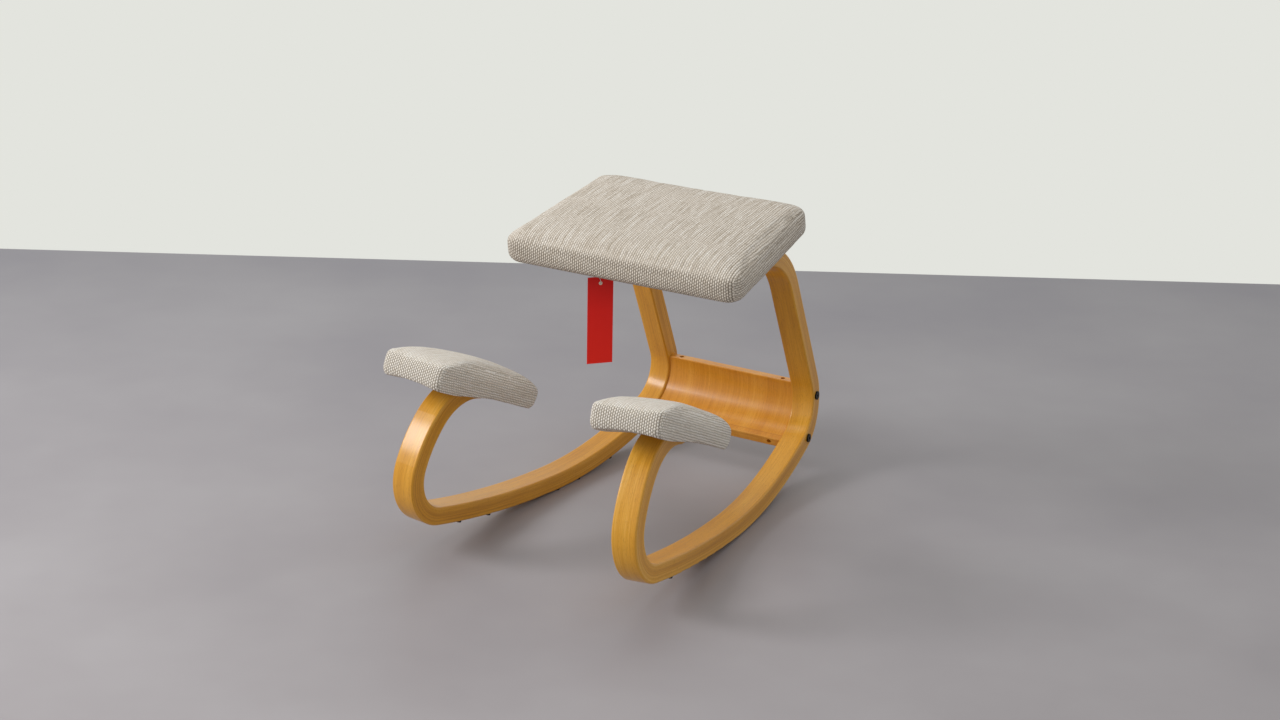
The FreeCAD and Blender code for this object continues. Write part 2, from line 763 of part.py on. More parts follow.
def rod(name, start, end, frame):
    """A round strand between two points, with round ends."""
    along = end - start
    item = doc.addObject("Part::Cylinder", name)
    bind(item, "Radius", "strand_diameter", " / 2")
    item.Height = along.Length
    item.Placement = frame.multiply(FreeCAD.Placement(start, FreeCAD.Rotation(Z_AXIS, along)))
    parts = [item]
    for index, point in enumerate((start, end)):
        ball = doc.addObject("Part::Sphere", "%sEnd%d" % (name, index))
        bind(ball, "Radius", "strand_diameter", " / 2")
        ball.Placement = frame.multiply(FreeCAD.Placement(point, FreeCAD.Rotation()))
        parts.append(ball)
    return parts


def fastener():
    reach = size("strand_spread") / 2
    bend = size("strand_loop_radius")
    foot = -size("tag_drop") + bend
    parts = rod("FastenerBar", vector(-reach, 0, 0), vector(reach, 0, 0), TAG_FRAME)
    for end in (-1, 1):
        parts += rod("FastenerStrand%s" % "AB"[end > 0], vector(end * reach, 0, 0), vector(0, end * bend, foot),
                     TAG_FRAME)
    loop = doc.addObject("Part::Torus", "FastenerLoop")
    bind(loop, "Radius1", "strand_loop_radius")
    bind(loop, "Radius2", "strand_diameter", " / 2")
    loop.Placement = at(TAG_FRAME, vector(0, 0, foot), FreeCAD.Rotation(Y_AXIS, 90))
    room = bend + size("strand_diameter")
    upper = tool_box("FastenerLoopUpper", vector(-room, -room, 0), vector(room, room, room),
                     at(TAG_FRAME, vector(0, 0, foot)))
    half_loop = cut("FastenerHalfLoop", loop, [upper])
    return fuse("Fastener", parts + [half_loop])


def across(frame, start):
    """A frame whose Z runs through the card."""
    return at(frame, vector(0, start, 0), FreeCAD.Rotation(X_AXIS, -90))


half_card = size("tag_thickness") / 2
flange = size("eyelet_flange_height")
card = block("Card", "tag_width", "tag_thickness", "tag_length",
             at(TAG_EYE, vector(0, 0, size("tag_hole_below_top") - size("tag_length"))))
deliver("hang_tag", cut("HangTag", card, [cylinder("CardHole", "eyelet_barrel_hole", "tag_width",
                                                   across(TAG_EYE, -size("tag_width") / 2))]))
eyelet_body = fuse("EyeletBody", [
    cylinder("EyeletBarrel", "eyelet_barrel_diameter", "eyelet_barrel_length",
             across(TAG_EYE, -half_card - flange)),
    cylinder("EyeletFront", "eyelet_flange_diameter", "eyelet_flange_height",
             across(TAG_EYE, -half_card - flange)),
    cylinder("EyeletBack", "eyelet_flange_diameter", "eyelet_flange_height", across(TAG_EYE, half_card))])
deliver("tag_eyelet", cut("Eyelet", eyelet_body, [cylinder("EyeletHole", "eyelet_hole_diameter", "tag_width",
                                                           across(TAG_EYE, -size("tag_width") / 2))]))
deliver("tag_fastener", fastener())

# Hem staples; the one over the fastener's bar stands off the hem by the bar and its play
staple_parts = [staple("Staple%d" % index, at(HEM_PLANE, vector(x, y, 0), FreeCAD.Rotation(Z_AXIS, turn)), 0)
                for index, (x, y, turn) in enumerate(SEAT_STAPLES)]
across_bar = FreeCAD.Rotation(Z_AXIS, size("tag_yaw") + 90)
staple_parts.append(staple("TagStaple", at(HEM_PLANE, TAG_ANCHOR, across_bar),
                           strand + 2 * bar_gap + size("bar_drop")))
deliver("seat_staples", compound("SeatStaples", staple_parts))

# Seat
deliver("seat_board", cut("SeatBoardDrilled", seat_board, board_holes("seat") + staple_parts))
deliver("seat_screws", screws("seat"))
deliver("seat_tee_nuts", tee_nuts("seat"))
foam_outer = form("SeatFoamForm", seat_form(size("cover_thickness")), SEAT)
deliver("seat_foam", cut("SeatFoam", foam_outer, [seat_board] + foam_pockets("seat")))
cover_outer = form("SeatCoverForm", seat_form(0), SEAT)
window = block("SeatWindow", "seat_window_width", "seat_window_depth", "bolt_head_height",
               at(SEAT, vector(0, 0, -size("bolt_head_height"))))
deliver("seat_cover", cut("SeatCover", cover_outer, [foam_outer, window] + staple_parts))

# Knee pads
for word, side in SIDES.items():
    title = word.title()
    pad_frame = at(KNEE[side], vector(0, 0, -size("knee_plane")))
    board = plate(title + "KneeBoard", "knee_board_half_width", "knee_board_half_width", "knee_board_front",
                  "knee_board_back", "knee_board_thickness", "knee_board_corner", pad_frame)
    window = block(title + "KneeWindow", "knee_window_width", "knee_window_length", "runner_thickness",
                   at(pad_frame, vector(0, (size("knee_window_back") - size("knee_window_front")) / 2,
                                        -size("runner_thickness"))))
    doc.recompute()
    foam_form = form(title + "KneeFoamForm", knee_form(size("cover_thickness")).cut(knee_arch(0)), pad_frame)
    pad_form = form(title + "KneeCoverForm", knee_form(0).cut(knee_arch(-size("cover_thickness"))), pad_frame)
    deliver(word + "_knee_board", cut(title + "KneeBoardDrilled", board, board_holes("knee", side)))
    deliver(word + "_knee_foam", cut(title + "KneeFoam", foam_form,
                                     [board, window] + foam_pockets("knee", side)))
    deliver(word + "_knee_cover", cut(title + "KneeCover", pad_form, [foam_form, window]))
deliver("knee_screws", screws("knee"))
deliver("knee_tee_nuts", tee_nuts("knee"))


# Crossbar: bent with the rear bend, its ends cut to the runners' inner faces

def bend_point(centre, radius, angle):
    return vector(0, centre[0] + radius * math.cos(math.radians(angle)),
                  centre[1] + radius * math.sin(math.radians(angle)))


BEND_START = size("rocker_rear_back_turn") - 90
BEND_END = BEND_START + size("rear_bend_turn")
INNER_CENTRE = in_runner(1, -size("half_width"), *REAR_BEND_CENTRE)
BAR_CENTRE = (INNER_CENTRE.y, INNER_CENTRE.z)
BAR_INNER = size("rear_bend_radius") - size("half_thickness") + size("crossbar_setback")
BAR_OUTER = BAR_INNER + size("crossbar_thickness")
BAR_MIDDLE = (BAR_INNER + BAR_OUTER) / 2
BAR_LEVEL = BAR_INNER * math.sin(math.radians(BEND_END))
BAR_OUTER_END = math.degrees(math.asin(BAR_LEVEL / BAR_OUTER))


def crossbar_section():
    """Concentric arcs round the bend, a level top end, and a short straight tail along the rocker."""
    def arc(radius, first, last):
        points = [bend_point(BAR_CENTRE, radius, angle) for angle in (first, (first + last) / 2, last)]
        return Part.Arc(*points).toShape()
    inner_foot = bend_point(BAR_CENTRE, BAR_INNER, BEND_START)
    outer_foot = bend_point(BAR_CENTRE, BAR_OUTER, BEND_START)
    heading = math.radians(BEND_START + 90)
    tail = vector(0, -math.cos(heading), -math.sin(heading)) * size("crossbar_tail")
    edges = [arc(BAR_INNER, BEND_END, BEND_START),
             Part.LineSegment(inner_foot, inner_foot + tail).toShape(),
             Part.LineSegment(inner_foot + tail, outer_foot + tail).toShape(),
             Part.LineSegment(outer_foot + tail, outer_foot).toShape(),
             arc(BAR_OUTER, BEND_START, BAR_OUTER_END),
             Part.LineSegment(bend_point(BAR_CENTRE, BAR_OUTER, BAR_OUTER_END),
                              bend_point(BAR_CENTRE, BAR_INNER, BEND_END)).toShape()]
    return Part.Wire(edges), (inner_foot + outer_foot) / 2 + tail


bar_wire, BAR_FOOT = crossbar_section()
BAR_HEAD = (bend_point(BAR_CENTRE, BAR_OUTER, BAR_OUTER_END) + bend_point(BAR_CENTRE, BAR_INNER, BEND_END)) / 2
bar_reach = size("runner_spacing") / 2
bar_shape = Part.Face(bar_wire).extrude(vector(2 * bar_reach, 0, 0))
bar_edges = [edge for edge in bar_shape.Edges if edge.BoundBox.XLength > bar_reach and len(edge.Vertexes) == 2]
bar_corners = [edge for edge in bar_edges
               if min((edge.Vertexes[0].Point - end).Length for end in (BAR_FOOT, BAR_HEAD))
               < size("crossbar_thickness")]
bar_shape = bar_shape.makeFillet(size("crossbar_edge_radius"), bar_corners)
bar_form = form("CrossbarForm", bar_shape, FreeCAD.Placement(vector(-bar_reach, 0, 0), FreeCAD.Rotation()))

# How far a cutting box reaches on the sides where nothing meets it
CUT_REACH = 600.0
BOLT_RADIUS = (size("rear_bend_radius") + BAR_MIDDLE) / 2
bar_tools, bolt_parts, nut_parts = [], [], []
runner_bolt_holes = {side: [] for side in SIDES.values()}
for word, side in SIDES.items():
    near_x, far_x = sorted((-side * size("half_width"), side * CUT_REACH))
    bar_tools.append(tool_box(word.title() + "BarEnd", vector(near_x, -CUT_REACH, -CUT_REACH),
                              vector(far_x, CUT_REACH, CUT_REACH), runner_frame(side)))
    for level, angle, face in (("Upper", size("upper_bolt_angle"), BAR_HEAD),
                               ("Lower", size("lower_bolt_angle"), BAR_FOOT)):
        name = "%s%s" % (word.title(), level)
        spot = bend_point(REAR_BEND_CENTRE, BOLT_RADIUS, angle)
        inward = FreeCAD.Rotation(Y_AXIS, -side * 90)
        outer = at(runner_frame(side), vector(side * size("half_width"), spot.y, spot.z), inward)
        shank = cylinder(name + "Shank", "bolt_diameter", "bolt_shank_length", outer)
        head = cylinder(name + "Head", "bolt_head_diameter", "bolt_head_height",
                        upward(outer, -size("bolt_head_height")))
        socket = cylinder(name + "Socket", "bolt_socket_flats", "bolt_socket_depth",
                          upward(outer, -size("bolt_head_height")))
        bolt_parts.append(cut(name + "Bolt", fuse(name + "BoltBody", [shank, head]), [socket]))
        runner_bolt_holes[side].append(cylinder(name + "Hole", "bolt_hole_diameter", "bolt_hole_length", outer))
        bar_tools.append(cylinder(name + "BarHole", "bolt_hole_diameter", "bolt_hole_length", outer))
        heart = outer.multVec(vector(0, 0, size("runner_width") + size("nut_inset")))
        mouth = vector(heart.x, face.y, face.z)
        out = (mouth - heart).normalize()
        turn = FreeCAD.Rotation(Z_AXIS, out)
        half_nut = size("nut_length") / 2
        bore = doc.addObject("Part::Cylinder", name + "Bore")
        bind(bore, "Radius", "nut_bore_diameter", " / 2")
        bore.Height = (mouth - heart).Length + half_nut + size("nut_bore_spare")
        bore.Placement = FreeCAD.Placement(heart - out * half_nut, turn)
        bar_tools.append(bore)
        nut = cylinder(name + "NutBlank", "nut_diameter", "nut_length",
                       FreeCAD.Placement(heart - out * half_nut, turn))
        thread = cylinder(name + "NutHole", "nut_hole_diameter", "bolt_hole_length", outer)
        nut_parts.append(cut(name + "Nut", nut, [thread]))
deliver("crossbar_panel", cut("Crossbar", bar_form, bar_tools))
deliver("crossbar_bolts", compound("CrossbarBolts", bolt_parts))
deliver("barrel_nuts", compound("BarrelNuts", nut_parts))


# Runners

# Reach of the boxes that level the runners' ends under the seat and the pads
SEAT_CUT_HALF = 160.0
ARM_CUT = 80.0


def glide_stations():
    """(distance along the rocker, side of the runner) for each glide; the outer toe glide is on the outside."""
    near = [size(alias) for alias in ("glide_first", "glide_front", "glide_toe")]
    near += [-size(alias) for alias in ("glide_first", "glide_rear")]
    return [(distance, -1) for distance in near] + [(size("glide_toe"), 1)]


def rocker_point(distance):
    """Place and heading on the centreline this far forwards of the point of rest."""
    first = size("rocker_rear_radius")
    reach = first * math.radians(size("rocker_rear_front_turn"))
    if distance <= reach:
        angle = -distance / first
        return first * math.sin(angle), first * (1 - math.cos(angle)), angle
    y, z, heading, centre = FRONT[1]
    radius = size("rocker_front_radius")
    angle = heading - math.pi - (distance - reach) / radius
    return centre[0] + radius * math.sin(angle), centre[1] - radius * math.cos(angle), angle


glides, glide_holes = [], {side: [] for side in SIDES.values()}
for word, side in SIDES.items():
    for index, (distance, edge) in enumerate(glide_stations()):
        y, z, angle = rocker_point(distance)
        x = edge * side * (size("half_width") - size("glide_inset"))
        foot = at(runner_frame(side), vector(0, y, z), FreeCAD.Rotation(X_AXIS, math.degrees(angle)))
        under = at(foot, vector(x, 0, -size("half_thickness")))
        name = "%sGlide%d" % (word.title(), index)
        disc = cylinder(name + "Disc", "glide_diameter", "glide_height", upward(under, -size("glide_proud")))
        peg = cylinder(name + "Peg", "glide_peg_diameter", "glide_peg_length", under)
        glides.append(fuse(name, [disc, peg]))
        glide_holes[side] += [disc, cylinder(name + "Hole", "glide_peg_hole", "glide_peg_length", under)]
doc.recompute()
floor = min(item.Shape.optimalBoundingBox(False, False).ZMin for item in glides) + size("glide_wear")
below = tool_box("Floor", vector(-CUT_REACH, -CUT_REACH, floor - CUT_REACH),
                 vector(CUT_REACH, CUT_REACH, floor), FreeCAD.Placement())
deliver("runner_glides", cut("RunnerGlides", compound("GlideBlanks", glides), [below]))

for word, side in SIDES.items():
    title = word.title()
    body = doc.addObject("PartDesign::Body", title + "Runner")
    section = section_sketch(body, title + "Section")
    front_spine = spine_sketch(body, title + "FrontLine", FRONT_RUN, -1, FRONT)
    rear_spine = spine_sketch(body, title + "RearLine", REAR_RUN, 1, REAR)
    doc.recompute()
    for label, spine in (("Front", front_spine), ("Rear", rear_spine)):
        pipe = body.newObject("PartDesign::AdditivePipe", title + label + "Half")
        pipe.Profile = section
        pipe.Spine = (spine, ["Edge%d" % number for number in range(1, len(spine.Geometry) + 1)])
        body.Tip = pipe
        doc.recompute()
    body.Placement = runner_frame(side)
    planes = [tool_box(title + "SeatPlane", vector(-CUT_REACH, -SEAT_CUT_HALF, 0),
                       vector(CUT_REACH, SEAT_CUT_HALF, SEAT_CUT_HALF), SEAT),
              tool_box(title + "KneePlane", vector(-ARM_CUT, -ARM_CUT, -size("knee_plane")),
                       vector(ARM_CUT, ARM_CUT, ARM_CUT), KNEE[side]),
              tool_box(title + "ScarfPlane", vector(-ARM_CUT, 0, -ARM_CUT), vector(ARM_CUT, ARM_CUT, 0),
                       at(KNEE[side], vector(0, -size("arm_scarf_start"), -size("half_thickness")),
                          FreeCAD.Rotation(X_AXIS, size("arm_scarf_angle"))))]
    holes = runner_bolt_holes[side] + glide_holes[side]
    holes += runner_screw_holes("seat", side) + runner_screw_holes("knee", side)
    deliver(word + "_runner", cut(title + "RunnerCut", body, planes + holes))

doc.recompute()
box = FreeCAD.BoundBox()
for item in FINAL.values():
    box.add(item.Shape.optimalBoundingBox(False, False))
shift = FreeCAD.Placement(vector(-box.Center.x, -box.Center.y, -box.ZMin), FreeCAD.Rotation())
for item in FINAL.values():
    item.Placement = shift.multiply(item.Placement)
doc.recompute()

os.makedirs("parts", exist_ok=True)
for item in doc.Objects:
    if "Invalid" in item.State or "Error" in item.State:
        raise RuntimeError("%s is not in order: %s" % (item.Name, item.State))
for node, item in FINAL.items():
    shape = item.Shape
    if shape.isNull() or not shape.isValid():
        raise RuntimeError("%s has no valid shape" % node)
    shape.exportStep("parts/%s.step" % node)
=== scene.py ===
import math

import bpy
import bmesh
from mathutils import Matrix, Vector


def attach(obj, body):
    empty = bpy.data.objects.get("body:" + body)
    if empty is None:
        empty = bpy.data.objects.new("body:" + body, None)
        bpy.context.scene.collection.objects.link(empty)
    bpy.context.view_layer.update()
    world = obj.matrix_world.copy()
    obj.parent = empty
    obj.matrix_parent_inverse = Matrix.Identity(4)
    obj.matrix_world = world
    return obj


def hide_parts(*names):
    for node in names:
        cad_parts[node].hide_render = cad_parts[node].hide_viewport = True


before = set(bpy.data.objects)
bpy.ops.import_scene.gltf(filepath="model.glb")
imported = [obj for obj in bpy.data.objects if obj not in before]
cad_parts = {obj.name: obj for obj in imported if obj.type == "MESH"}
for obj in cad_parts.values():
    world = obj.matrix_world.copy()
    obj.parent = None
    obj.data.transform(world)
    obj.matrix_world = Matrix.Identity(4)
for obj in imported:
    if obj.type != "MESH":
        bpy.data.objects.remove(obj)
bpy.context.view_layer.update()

MM = 0.001

# Where the runners stand and how their centrelines run, as in the part's own dimensions: kind of stretch,
# radius or length, and turn in degrees
SPACING = 338.0
SPLAY = 4.5
LEAN = 2.7
REST_POINT = Vector((0.0, 46.92, 16.66))
REAR_LINE = [("arc", 715.0, 20.6), ("arc", 71.0, 94.6), ("line", 211.4, 0.0), ("arc", 134.0, 74.7),
             ("line", 60.0, 0.0)]
FRONT_LINE = [("arc", 715.0, 3.3), ("arc", 1615.0, 10.6), ("arc", 72.0, 99.1), ("arc", 194.0, 23.3),
              ("arc", 97.0, 69.1), ("line", 60.0, 0.0)]
SIDES = {"left": 1, "right": -1}

# Seat and knee pads: where their boards' undersides lie, and the hem's opening there (half its width, its
# near end and its far end)
SEAT_ORIGIN = Vector((0.0, 33.954, 418.827)) + REST_POINT
SEAT_SLOPE = 9.925
KNEE_ORIGIN = Vector((176.598, -232.091, 225.524)) + REST_POINT
KNEE_SLOPE = -25.4
KNEE_PLANE = -4.0
SEAT_WINDOW = (169.0, -100.5, 100.5)
KNEE_WINDOW = (26.0, -84.0, 24.0)
# A cushion's face belongs to its underside when it lies below this height and faces down by this much
UNDERSIDE_LEVEL = 1.0
FACES_DOWN = -0.5


def pick(obj):
    """Makes this the one selected and active object."""
    bpy.ops.object.select_all(action="DESELECT")
    obj.select_set(True)
    bpy.context.view_layer.objects.active = obj


def runner_matrix(side):
    """The runner's own axes: X across its width, Y along the floor, Z up in its plane."""
    spot = Matrix.Translation(REST_POINT + Vector((side * SPACING / 2, 0, 0)))
    return spot @ Matrix.Rotation(math.radians(side * SPLAY), 4, "Z") @ Matrix.Rotation(
        math.radians(-side * LEAN), 4, "Y")


def seat_matrix():
    return Matrix.Translation(SEAT_ORIGIN) @ Matrix.Rotation(math.radians(SEAT_SLOPE), 4, "X")


def knee_matrix(side):
    """Board underside of a knee pad: X across, Y down the arm to the back, Z off the board."""
    place = KNEE_ORIGIN.copy()
    place.x *= side
    turn = Matrix.Rotation(math.radians(side * SPLAY), 4, "Z") @ Matrix.Rotation(
        math.radians(-side * LEAN), 4, "Y") @ Matrix.Rotation(math.radians(KNEE_SLOPE), 4, "X")
    return Matrix.Translation(place) @ turn @ Matrix.Translation((0, 0, KNEE_PLANE))


# Colours and shader nodes

def shade(code):
    """A hex colour as the linear values that a shader takes."""
    values = [int(code[i:i + 2], 16) / 255 for i in (1, 3, 5)]
    return [v / 12.92 if v <= 0.04045 else ((v + 0.055) / 1.055) ** 2.4 for v in values] + [1.0]


def new_material(name, colour, roughness, metallic=0.0):
    material = bpy.data.materials.new(name)
    material.use_nodes = True
    shader = material.node_tree.nodes["Principled BSDF"]
    shader.inputs["Base Color"].default_value = shade(colour)
    shader.inputs["Roughness"].default_value = roughness
    shader.inputs["Metallic"].default_value = metallic
    return material, shader


def add(tree, kind, inputs=None, stops=None, **settings):
    """One shader node with its settings and links. Inputs go by name or number and are values, sockets, or
    nodes of which the first output is taken. Stops are the places and colours of a colour ramp."""
    node = tree.nodes.new("ShaderNode" + kind)
    for key, value in settings.items():
        setattr(node, key, value)
    for key, value in (inputs or {}).items():
        if isinstance(value, bpy.types.Node):
            value = value.outputs[0]
        if isinstance(value, bpy.types.NodeSocket):
            tree.links.new(value, node.inputs[key])
        else:
            node.inputs[key].default_value = value
    if stops:
        elements = node.color_ramp.elements
        while len(elements) < len(stops):
            elements.new(0.5)
        for element, (place, colour) in zip(elements, stops):
            element.position = place
            element.color = shade(colour)
    return node


# Beech: sizes of the figure, the streaks and the pores in millimetres, across the width, along the grain and
# through the layers. Real pores are too fine to show, so they are drawn coarser.
FIGURE_MM = (33.333, 500.0, 20.0)
STREAK_MM = (1.8182, 83.333, 1.6667)
PORE_MM = (0.625, 6.25, 0.625)
# Share of each layer that its glue line takes, also drawn coarser than it is
GLUE_SHARE = 0.14


def wood_material(name, tones, layer_mm):
    """Clear-lacquered beech, from the piece's own grain coordinates. The tones are dark, middle and light
    wood, then that of pores and glue."""
    material, shader = new_material(name, tones[1], 0.34)
    tree = material.node_tree
    place = add(tree, "Attribute", attribute_name="grain").outputs["Vector"]
    patterns = []
    for size, detail, roughness in ((FIGURE_MM, 3.0, 0.55), (STREAK_MM, 4.0, 0.6), (PORE_MM, 1.0, 0.4)):
        laid = add(tree, "Mapping", {"Vector": place, "Scale": [1 / length for length in size]})
        patterns.append(add(tree, "TexNoise", {"Vector": laid, "Scale": 1.0, "Detail": detail,
                                               "Roughness": roughness}))
    figure, streak, pore = patterns
    through = add(tree, "SeparateXYZ", {0: place}).outputs["Z"]
    layer = add(tree, "Math", {0: through, 1: layer_mm}, operation="DIVIDE")
    layer_number = add(tree, "Math", {0: layer}, operation="FLOOR")
    layer_tone = add(tree, "TexWhiteNoise", {"W": layer_number}, noise_dimensions="1D").outputs["Value"]
    into_layer = add(tree, "Math", {0: layer}, operation="FRACT")
    glue = add(tree, "Math", {0: into_layer, 1: GLUE_SHARE}, operation="LESS_THAN")
    grain = add(tree, "Math", {0: layer_tone, 1: 0.15}, operation="MULTIPLY")
    grain = add(tree, "Math", {0: streak, 1: 0.40, 2: grain}, operation="MULTIPLY_ADD")
    grain = add(tree, "Math", {0: figure, 1: 0.45, 2: grain}, operation="MULTIPLY_ADD")
    colour = add(tree, "ValToRGB", {0: grain}, [(0.30, tones[0]), (0.52, tones[1]), (0.72, tones[2])])
    marks = add(tree, "MapRange", {"Value": pore, "From Min": 0.60, "From Max": 0.72, "To Min": 0.0,
                                   "To Max": 0.38})
    colour = add(tree, "Mix", {0: marks, 6: colour, 7: shade(tones[3])}, data_type="RGBA").outputs[2]
    glue = add(tree, "Math", {0: glue, 1: 0.28}, operation="MULTIPLY")
    colour = add(tree, "Mix", {0: glue, 6: colour, 7: shade(tones[3])}, data_type="RGBA").outputs[2]
    tree.links.new(colour, shader.inputs["Base Color"])
    gloss = add(tree, "MapRange", {"Value": streak, "From Min": 0.3, "From Max": 0.7, "To Min": 0.28,
                                   "To Max": 0.42})
    tree.links.new(gloss.outputs[0], shader.inputs["Roughness"])
    shader.inputs["Specular IOR Level"].default_value = 0.3
    shader.inputs["Coat Weight"].default_value = 0.3
    shader.inputs["Coat Roughness"].default_value = 0.18
    bump = add(tree, "Bump", {"Height": streak, "Strength": 0.08, "Distance": 0.0003})
    tree.links.new(bump.outputs[0], shader.inputs["Normal"])
    return material


# Cloth: how far its rows stray and over what length, the size of the thick and thin stretches of a yarn
# (across and along it) and that of its fuzz, in millimetres. Real fuzz is finer and wouldn't show.
WOBBLE_MM = 2.2
WOBBLE_LENGTH_MM = 11.111
SLUB_MM = (1.6667, 71.429, 1.0)
FUZZ_MM = 0.625
# How dark the shade painted into the hollows between the yarns is, where the cloth looks knobbly and where it
# looks flat
HOLLOW_SHADE_DEPTHS = (0.95, 0.5)


def cloth_material(name, tones, rib_mm, pick_mm):
    """Coarse woven cloth with darker flecks. The weave map is in millimetres: ribs lie side by side along U
    and run along V, where every other one is crossed half a step later. Where the cloth is marked as looking
    flat, on the top and on the sides, which this also paints lighter, the yarn's streaks show more and the
    shade painted into its hollows is weaker. The first tone is that of the painted shade in the hollows."""
    material, shader = new_material(name, tones[1], 0.92)
    tree = material.node_tree
    place = add(tree, "UVMap", uv_map="weave")
    wobble = add(tree, "TexNoise", {"Vector": place, "Scale": 1 / WOBBLE_LENGTH_MM, "Detail": 2.0})
    shift = add(tree, "VectorMath", {0: wobble.outputs["Color"], 1: (WOBBLE_MM, WOBBLE_MM, 0.0)},
                operation="MULTIPLY")
    place = add(tree, "VectorMath", {0: place, 1: shift}, operation="ADD")
    split = add(tree, "SeparateXYZ", {0: place})
    across = add(tree, "Math", {0: split.outputs["X"], 1: rib_mm}, operation="DIVIDE")
    rib = add(tree, "Math", {0: across}, operation="FLOOR")
    into_rib = add(tree, "Math", {0: across}, operation="FRACT")
    half_turn = add(tree, "Math", {0: into_rib, 1: math.pi}, operation="MULTIPLY")
    round_rib = add(tree, "Math", {0: half_turn}, operation="SINE")
    step = add(tree, "Math", {0: split.outputs["Y"], 1: pick_mm}, operation="DIVIDE")
    step = add(tree, "Math", {0: rib, 1: 0.5, 2: step}, operation="MULTIPLY_ADD")
    full_turn = add(tree, "Math", {0: step, 1: 2 * math.pi}, operation="MULTIPLY")
    crossing = add(tree, "Math", {0: full_turn}, operation="COSINE")
    crossing = add(tree, "Math", {0: crossing, 1: 0.36, 2: 0.64}, operation="MULTIPLY_ADD")
    knob = add(tree, "Math", {0: round_rib, 1: crossing}, operation="MULTIPLY")
    step_number = add(tree, "Math", {0: step}, operation="FLOOR")
    cell = add(tree, "CombineXYZ", {0: rib, 1: step_number})
    cell_tone = add(tree, "TexWhiteNoise", {"Vector": cell}, noise_dimensions="2D").outputs["Value"]
    # How flat the cloth looks, which on the sides also stands for painted light
    flat = add(tree, "Attribute", attribute_name="flat_and_lit").outputs["Fac"]
    laid = add(tree, "Mapping", {"Vector": place, "Scale": [1 / length for length in SLUB_MM]})
    slub = add(tree, "TexNoise", {"Vector": laid, "Scale": 1.0, "Detail": 2.0, "Roughness": 0.6})
    slub = add(tree, "MapRange", {"Value": slub, "From Min": 0.30, "From Max": 0.70})
    streaky = add(tree, "Math", {0: flat, 1: 0.75, 2: 0.25}, operation="MULTIPLY_ADD")
    slub = add(tree, "Mix", {0: streaky, 2: 0.55, 3: slub})
    fuzz = add(tree, "TexNoise", {"Vector": place, "Scale": 1 / FUZZ_MM, "Detail": 3.0, "Roughness": 0.75})
    tone = add(tree, "Math", {0: fuzz, 1: 0.38}, operation="MULTIPLY")
    tone = add(tree, "Math", {0: slub, 1: 0.50, 2: tone}, operation="MULTIPLY_ADD")
    tone = add(tree, "Math", {0: cell_tone, 1: 0.12, 2: tone}, operation="MULTIPLY_ADD")
    colour = add(tree, "ValToRGB", {0: tone}, [(0.30, tones[1]), (0.44, tones[2]), (0.62, tones[3]),
                                               (0.80, tones[4])])
    # Painted shade: the hollows between the knobs are darkened towards the first tone, deepest on the
    # cushion's front and ends
    depth = add(tree, "MapRange", {"Value": flat, "To Min": HOLLOW_SHADE_DEPTHS[0], "To Max": HOLLOW_SHADE_DEPTHS[1]})
    hollow_shade = add(tree, "MapRange", {"Value": knob, "From Min": 0.08, "From Max": 0.62, "To Min": 1.0,
                                    "To Max": 0.0})
    hollow_shade = add(tree, "Math", {0: hollow_shade, 1: depth}, operation="MULTIPLY")
    colour = add(tree, "Mix", {0: hollow_shade, 6: colour, 7: shade(tones[0])}, data_type="RGBA").outputs[2]
    tree.links.new(colour, shader.inputs["Base Color"])
    height = add(tree, "Math", {0: fuzz, 1: 0.35, 2: knob}, operation="MULTIPLY_ADD")
    bump = add(tree, "Bump", {"Height": height, "Strength": 0.9, "Distance": 0.0015})
    tree.links.new(bump.outputs[0], shader.inputs["Normal"])
    shader.inputs["Sheen Weight"].default_value = 0.1
    shader.inputs["Sheen Roughness"].default_value = 0.6
    shader.inputs["Specular IOR Level"].default_value = 0.25
    return material


# Size of the boards' grain in millimetres: across it, along it and through the board
PLY_MM = (3.3333, 83.333, 16.667)


def ply_material(name):
    """Raw plywood, from its place in the chair."""
    material, shader = new_material(name, "#C8A46C", 0.6)
    tree = material.node_tree
    place = add(tree, "TexCoord").outputs["Object"]
    laid = add(tree, "Mapping", {"Vector": place, "Scale": [1 / (length * MM) for length in PLY_MM]})
    grain = add(tree, "TexNoise", {"Vector": laid, "Scale": 1.0, "Detail": 4.0})
    colour = add(tree, "ValToRGB", {0: grain}, [(0.3, "#B48A52"), (0.55, "#CBA56C"), (0.75, "#DABB88")])
    tree.links.new(colour.outputs[0], shader.inputs["Base Color"])
    return material


# Size of the blotches in a metal's shine, and of the grit in a mould or a varnish, in millimetres. The grit
# is finer in truth and wouldn't show.
BLOTCH_MM = 1.1111
GRIT_MM = 0.83333


def metal_material(name, colour, roughness):
    """Treated steel whose shine is faintly uneven."""
    material, shader = new_material(name, colour, roughness, metallic=1.0)
    tree = material.node_tree
    place = add(tree, "TexCoord").outputs["Object"]
    blotches = add(tree, "TexNoise", {"Vector": place, "Scale": 1 / (BLOTCH_MM * MM), "Detail": 2.0})
    shine = add(tree, "MapRange", {"Value": blotches, "To Min": roughness - 0.06, "To Max": roughness + 0.08})
    tree.links.new(shine.outputs[0], shader.inputs["Roughness"])
    return material


def plastic_material(name, colour, roughness, clearness=0.0):
    """Moulded plastic or varnished card with a fine grit."""
    material, shader = new_material(name, colour, roughness)
    tree = material.node_tree
    place = add(tree, "TexCoord").outputs["Object"]
    grit = add(tree, "TexNoise", {"Vector": place, "Scale": 1 / (GRIT_MM * MM), "Detail": 2.0})
    bump = add(tree, "Bump", {"Height": grit, "Strength": 0.06, "Distance": 0.0001})
    tree.links.new(bump.outputs[0], shader.inputs["Normal"])
    shader.inputs["Transmission Weight"].default_value = clearness
    return material


# Heights of the card's foot and head over the floor, in metres, between which its painted shade deepens
CARD_FOOT = 0.259
CARD_HEAD = 0.403


